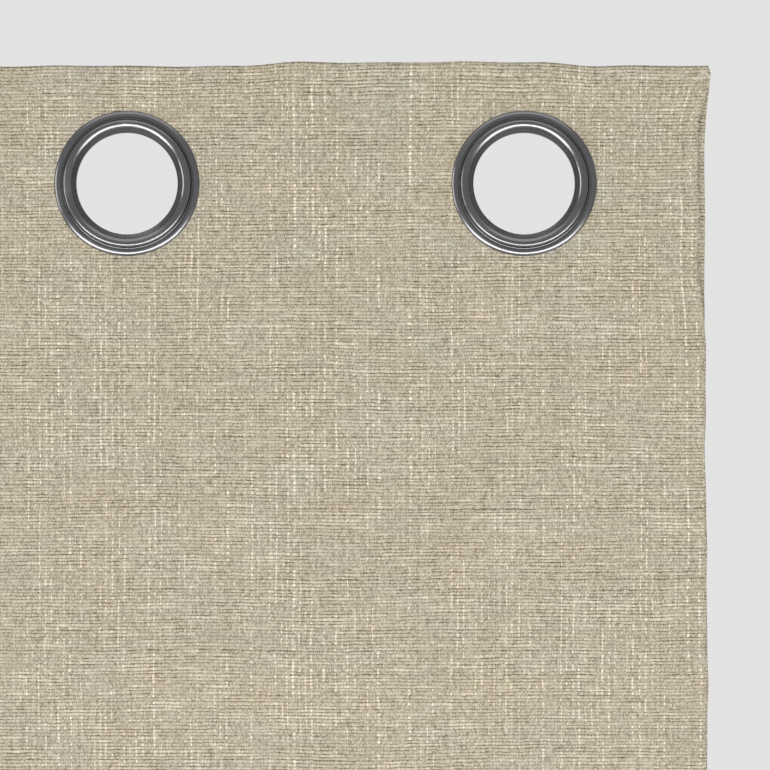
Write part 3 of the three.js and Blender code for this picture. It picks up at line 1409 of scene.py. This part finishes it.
@dataclass
class CornerTack:
    """Hand stitches of pale yarn that cross over a top corner and hold its folds together."""

    cloth: PanelCloth
    side: Side
    inset: tuple[float, float] = (2.4 * MM, 3.1 * MM)
    half_length: float = 3.0 * MM
    scatter: float = 0.8 * MM
    radius: float = 0.15 * MM
    rise: float = 0.30 * MM
    strands: int = 5
    sides: int = 6
    rings: int = 11
    first_deg: float = 35.0
    turn_deg: float = 97.0
    bow: float = 0.30

    def dress(self, span: Span) -> bpy.types.Object:
        """Builds the strands and joins them to the frame where the stretch has a single body.

        Strand k lies at its own angle and bows aside and out by a parabola, 1 - t^2, of the
        place t along it, from -1 to 1. Its girth is a circle carried along that line.

        Args:
            span: the stretch of cloth whose corner it is on.

        Returns:
            The piece.
        """
        lay = self.cloth.layout
        outward, edge = self.side.outward, self.side.edge(lay)
        k = np.arange(self.strands)[:, None, None]
        t = np.linspace(-1.0, 1.0, self.rings)[None, :, None]
        phi = np.linspace(0.0, 2.0 * math.pi, self.sides, endpoint=False)[None, None, :]
        angle = np.radians(self.first_deg + self.turn_deg * k)
        half = self.half_length * (0.75 + 0.25 * np.cos(2.3 * k))
        girth = self.radius * np.sqrt(np.clip(1.0 - t ** 6, 0.05, 1.0))
        aside = self.bow * half * np.sin(1.9 * k + 0.6) * (1.0 - t ** 2) + girth * np.cos(phi)
        along = half * t + 0.0 * phi
        centre_x = self.inset[0] + self.scatter * np.sin(3.1 * k + 1.0)
        centre_z = lay.top - self.inset[1] + self.scatter * np.sin(2.0 * k)
        x = edge - outward * (centre_x - along * np.cos(angle) + aside * np.sin(angle))
        z = centre_z + along * np.sin(angle) + aside * np.cos(angle)
        y = -lay.half_stack - self.rise * (1.0 - t ** 2) + girth * np.sin(phi) + 0.0 * k
        points = self.cloth.surface(x, y, z)
        one = grid_quads(self.rings, self.sides, wrap_columns=True)
        quads = repeated(one, self.strands, self.rings * self.sides)
        piece = make_piece(f"corner_tack_{self.side.value}", points, quads)
        close_ends(piece)
        finish_mesh(piece)
        Finish.YARN.put_on(piece)
        span.follow(piece)
        return piece


@dataclass
class CareLabel:
    """A blank satin label sewn behind the left side hem."""

    layout: Layout
    cloth: PanelCloth
    thickness: float = 0.22 * MM
    curl: float = 1.2 * MM
    columns: int = 12
    rows: int = 24

    def dress(self) -> bpy.types.Object:
        """Builds the label, a little curled at its free end, and joins it to the frame.

        The curl is a parabola: it lifts by curl times the square of the share of the way
        down from the sewn end.

        Returns:
            The piece.
        """
        low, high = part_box("care_label")
        across = np.linspace(low[0], high[0], self.columns)
        down = np.linspace(high[2], low[2], self.rows)
        x, z = np.meshgrid(across, down)
        share = (high[2] - z) / (high[2] - low[2])
        middle = (low[1] + high[1]) / 2.0
        y = middle + self.curl * share ** 2 + self.cloth.drape.out(x, z)
        points = np.stack([x, y, z], axis=-1).reshape(-1, 3)
        uv = np.stack([x - low[0], high[2] - z], axis=-1).reshape(-1, 2)
        piece = make_piece("label_tape", points, grid_quads(self.rows, self.columns), uv)
        finish_mesh(piece, self.thickness)
        Finish.TAPE.put_on(piece)
        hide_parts("care_label")
        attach(piece, "strip_1")
        return piece


@dataclass
class Studio:
    """The camera, the lights, the pale surroundings and the floor."""

    layout: Layout
    field_width: float = 311.0 * MM
    from_right: float = 129.7 * MM
    from_top: float = 128.9 * MM
    distance: float = 3.6
    sensor: float = 36.0
    floor_gap: float = 5.0 * MM

    def target(self) -> tuple[float, float]:
        """The middle of the view on the cloth's face, as x and z."""
        return self.layout.right - self.from_right, self.layout.top - self.from_top

    def camera(self) -> None:
        """Looks straight at the panel's top right corner, from far enough to look flat."""
        data = bpy.data.cameras.new("camera")
        data.sensor_width = self.sensor
        data.lens = self.sensor * self.distance / self.field_width
        data.clip_end = 100.0
        camera = bpy.data.objects.new("camera", data)
        x, z = self.target()
        camera.location = (x, -self.layout.half_stack - self.distance, z)
        camera.rotation_euler = (math.pi / 2.0, 0.0, 0.0)
        bpy.context.scene.collection.objects.link(camera)
        bpy.context.scene.camera = camera

    def softbox(self, name: str, place: Sequence[float], aim: Sequence[float],
                size: tuple[float, float], power: float) -> None:
        """A large area light that the camera doesn't see.

        Args:
            name: the light's name.
            place: where it stands.
            aim: the point it faces.
            size: its width and height.
            power: its power in watts.
        """
        data = bpy.data.lights.new(name, "AREA")
        data.shape = "RECTANGLE"
        data.size, data.size_y = size
        data.energy = power
        light = bpy.data.objects.new(name, data)
        light.location = place
        heading = Vector(aim) - Vector(place)
        light.rotation_euler = heading.to_track_quat("-Z", "Y").to_euler()
        light.visible_camera = False
        bpy.context.scene.collection.objects.link(light)

    def lights(self) -> None:
        """Two softboxes low in front, weak ones on the left and above, and one behind."""
        x, z = self.target()
        middle = (0.0, 0.0, z - 0.9)
        high = (x, 0.0, z + 3.0)
        self.softbox("front_left", (x - 1.00, -1.80, z - 1.45), high, (2.2, 1.1), 43.0)
        self.softbox("front_right", (x + 0.90, -1.80, z - 1.45), high, (2.1, 1.1), 38.5)
        self.softbox("side_left", (x - 2.90, -1.10, z - 0.10), (x, 0.0, z), (0.8, 1.8), 16.0)
        self.softbox("above", (x, -0.90, z + 1.70), (x, 0.0, z), (2.6, 1.6), 9.0)
        self.softbox("behind", (0.0, 2.4, 2.2), middle, (2.4, 1.4), 90.0)

    def surroundings(self, seen: float = 0.765, lit: float = 0.42) -> None:
        """A plain pale world, dimmer as a light than as a background.

        Args:
            seen: how bright it looks behind the panel.
            lit: how bright it is as a light.
        """
        world = bpy.data.worlds.new("studio")
        world.use_nodes = True
        nodes, links = world.node_tree.nodes, world.node_tree.links
        shown, lighting = nodes["Background"], nodes.new("ShaderNodeBackground")
        shown.inputs["Color"].default_value = (1.0, 1.0, 0.995, 1.0)
        shown.inputs["Strength"].default_value = seen
        lighting.inputs["Strength"].default_value = lit
        lighting.inputs["Color"].default_value = (1.0, 1.0, 1.0, 1.0)
        path, mix = nodes.new("ShaderNodeLightPath"), nodes.new("ShaderNodeMixShader")
        links.new(path.outputs["Is Camera Ray"], mix.inputs[0])
        links.new(lighting.outputs[0], mix.inputs[1])
        links.new(shown.outputs[0], mix.inputs[2])
        links.new(mix.outputs[0], nodes["World Output"].inputs["Surface"])
        bpy.context.scene.world = world
        bpy.context.scene.view_settings.view_transform = "Standard"

    def floor(self, half_width: float = 9.0) -> None:
        """A wide floor a little below the hem.

        Args:
            half_width: half the floor's side.
        """
        level = self.layout.bottom - self.floor_gap
        ends = np.linspace(-half_width, half_width, 5)
        x, y = np.meshgrid(ends, ends)
        points = np.stack([x, y, np.full_like(x, level)], axis=-1).reshape(-1, 3)
        floor = make_piece("floor", points, grid_quads(5, 5))
        floor.data.materials.append(StudioFloor().make())


# ---- the whole panel --------------------------------------------------------------------


def report(made: Iterable[bpy.types.Object]) -> None:
    """Logs each piece's name and size in faces.

    Args:
        made: the pieces.
    """
    for piece in made:
        log.info("%-24s %7d faces", piece.name, len(piece.data.polygons))


def sew(cloth: PanelCloth, hems: Sequence[SideHem], spans: Sequence[Span]) -> list[bpy.types.Object]:
    """The seams of the header, the bottom hem and the side hems, on both faces.

    Args:
        cloth: the cloth they are sewn in.
        hems: the right and the left side hem.
        spans: the panel's stretches.

    Returns:
        The rows of stitches.
    """
    stitching = Stitching(cloth)
    layout, inset = cloth.layout, stitching.inset
    face = layout.half_stack - stitching.sunk
    seams = (("header", layout.header_seam + inset), ("bottom", layout.bottom_seam - inset))
    made = []
    for span in spans:
        for seam, z in seams:
            for layer, y in (("face", -face), ("back", face)):
                name = f"{seam}_stitches_{layer}_{span.number}"
                row = stitching.row(name, Run.ACROSS, span.start, span.stop, z, y)
                span.follow(row)
                made.append(row)
    low, high = layout.bottom_seam + inset, layout.header_seam - inset
    from_edge = layout.hem_width - inset
    for hem in hems:
        x = hem.side.edge(layout) - hem.side.outward * from_edge
        for layer, y in (("face", -face), ("back", hem.back_y - stitching.sunk)):
            name = f"side_hem_stitches_{layer}_{hem.side.value}"
            row = stitching.row(name, Run.UP, low, high, x, y)
            spans[-1 if hem.side is Side.RIGHT else 0].follow(row)
            made.append(row)
    return made


def main() -> None:
    """Builds the studio and every sub-assembly in order."""
    layout = Layout()
    drape = Drape(layout)
    studio = Studio(layout)
    studio.camera()
    studio.lights()
    studio.surroundings()
    studio.floor()

    spans = spans_of(layout)
    cloth = PanelCloth(layout, drape)
    report([cloth.dress(span) for span in spans])
    report(HeaderInterfacing(layout, cloth).dress(spans))
    right_hem, left_hem = SideHem(layout, cloth, Side.RIGHT), SideHem(layout, cloth, Side.LEFT)
    report([right_hem.dress(spans[-1]), left_hem.dress(spans[0])])
    grommets = GrommetRow(layout)
    for number in range(1, layout.count + 1):
        report(grommets.dress(number))
    report(sew(cloth, (right_hem, left_hem), spans))
    report([CornerTack(cloth, side).dress(span)
            for side, span in ((Side.RIGHT, spans[-1]), (Side.LEFT, spans[0]))])
    report([CareLabel(layout, cloth).dress()])


if __name__ == "__main__":
    main()
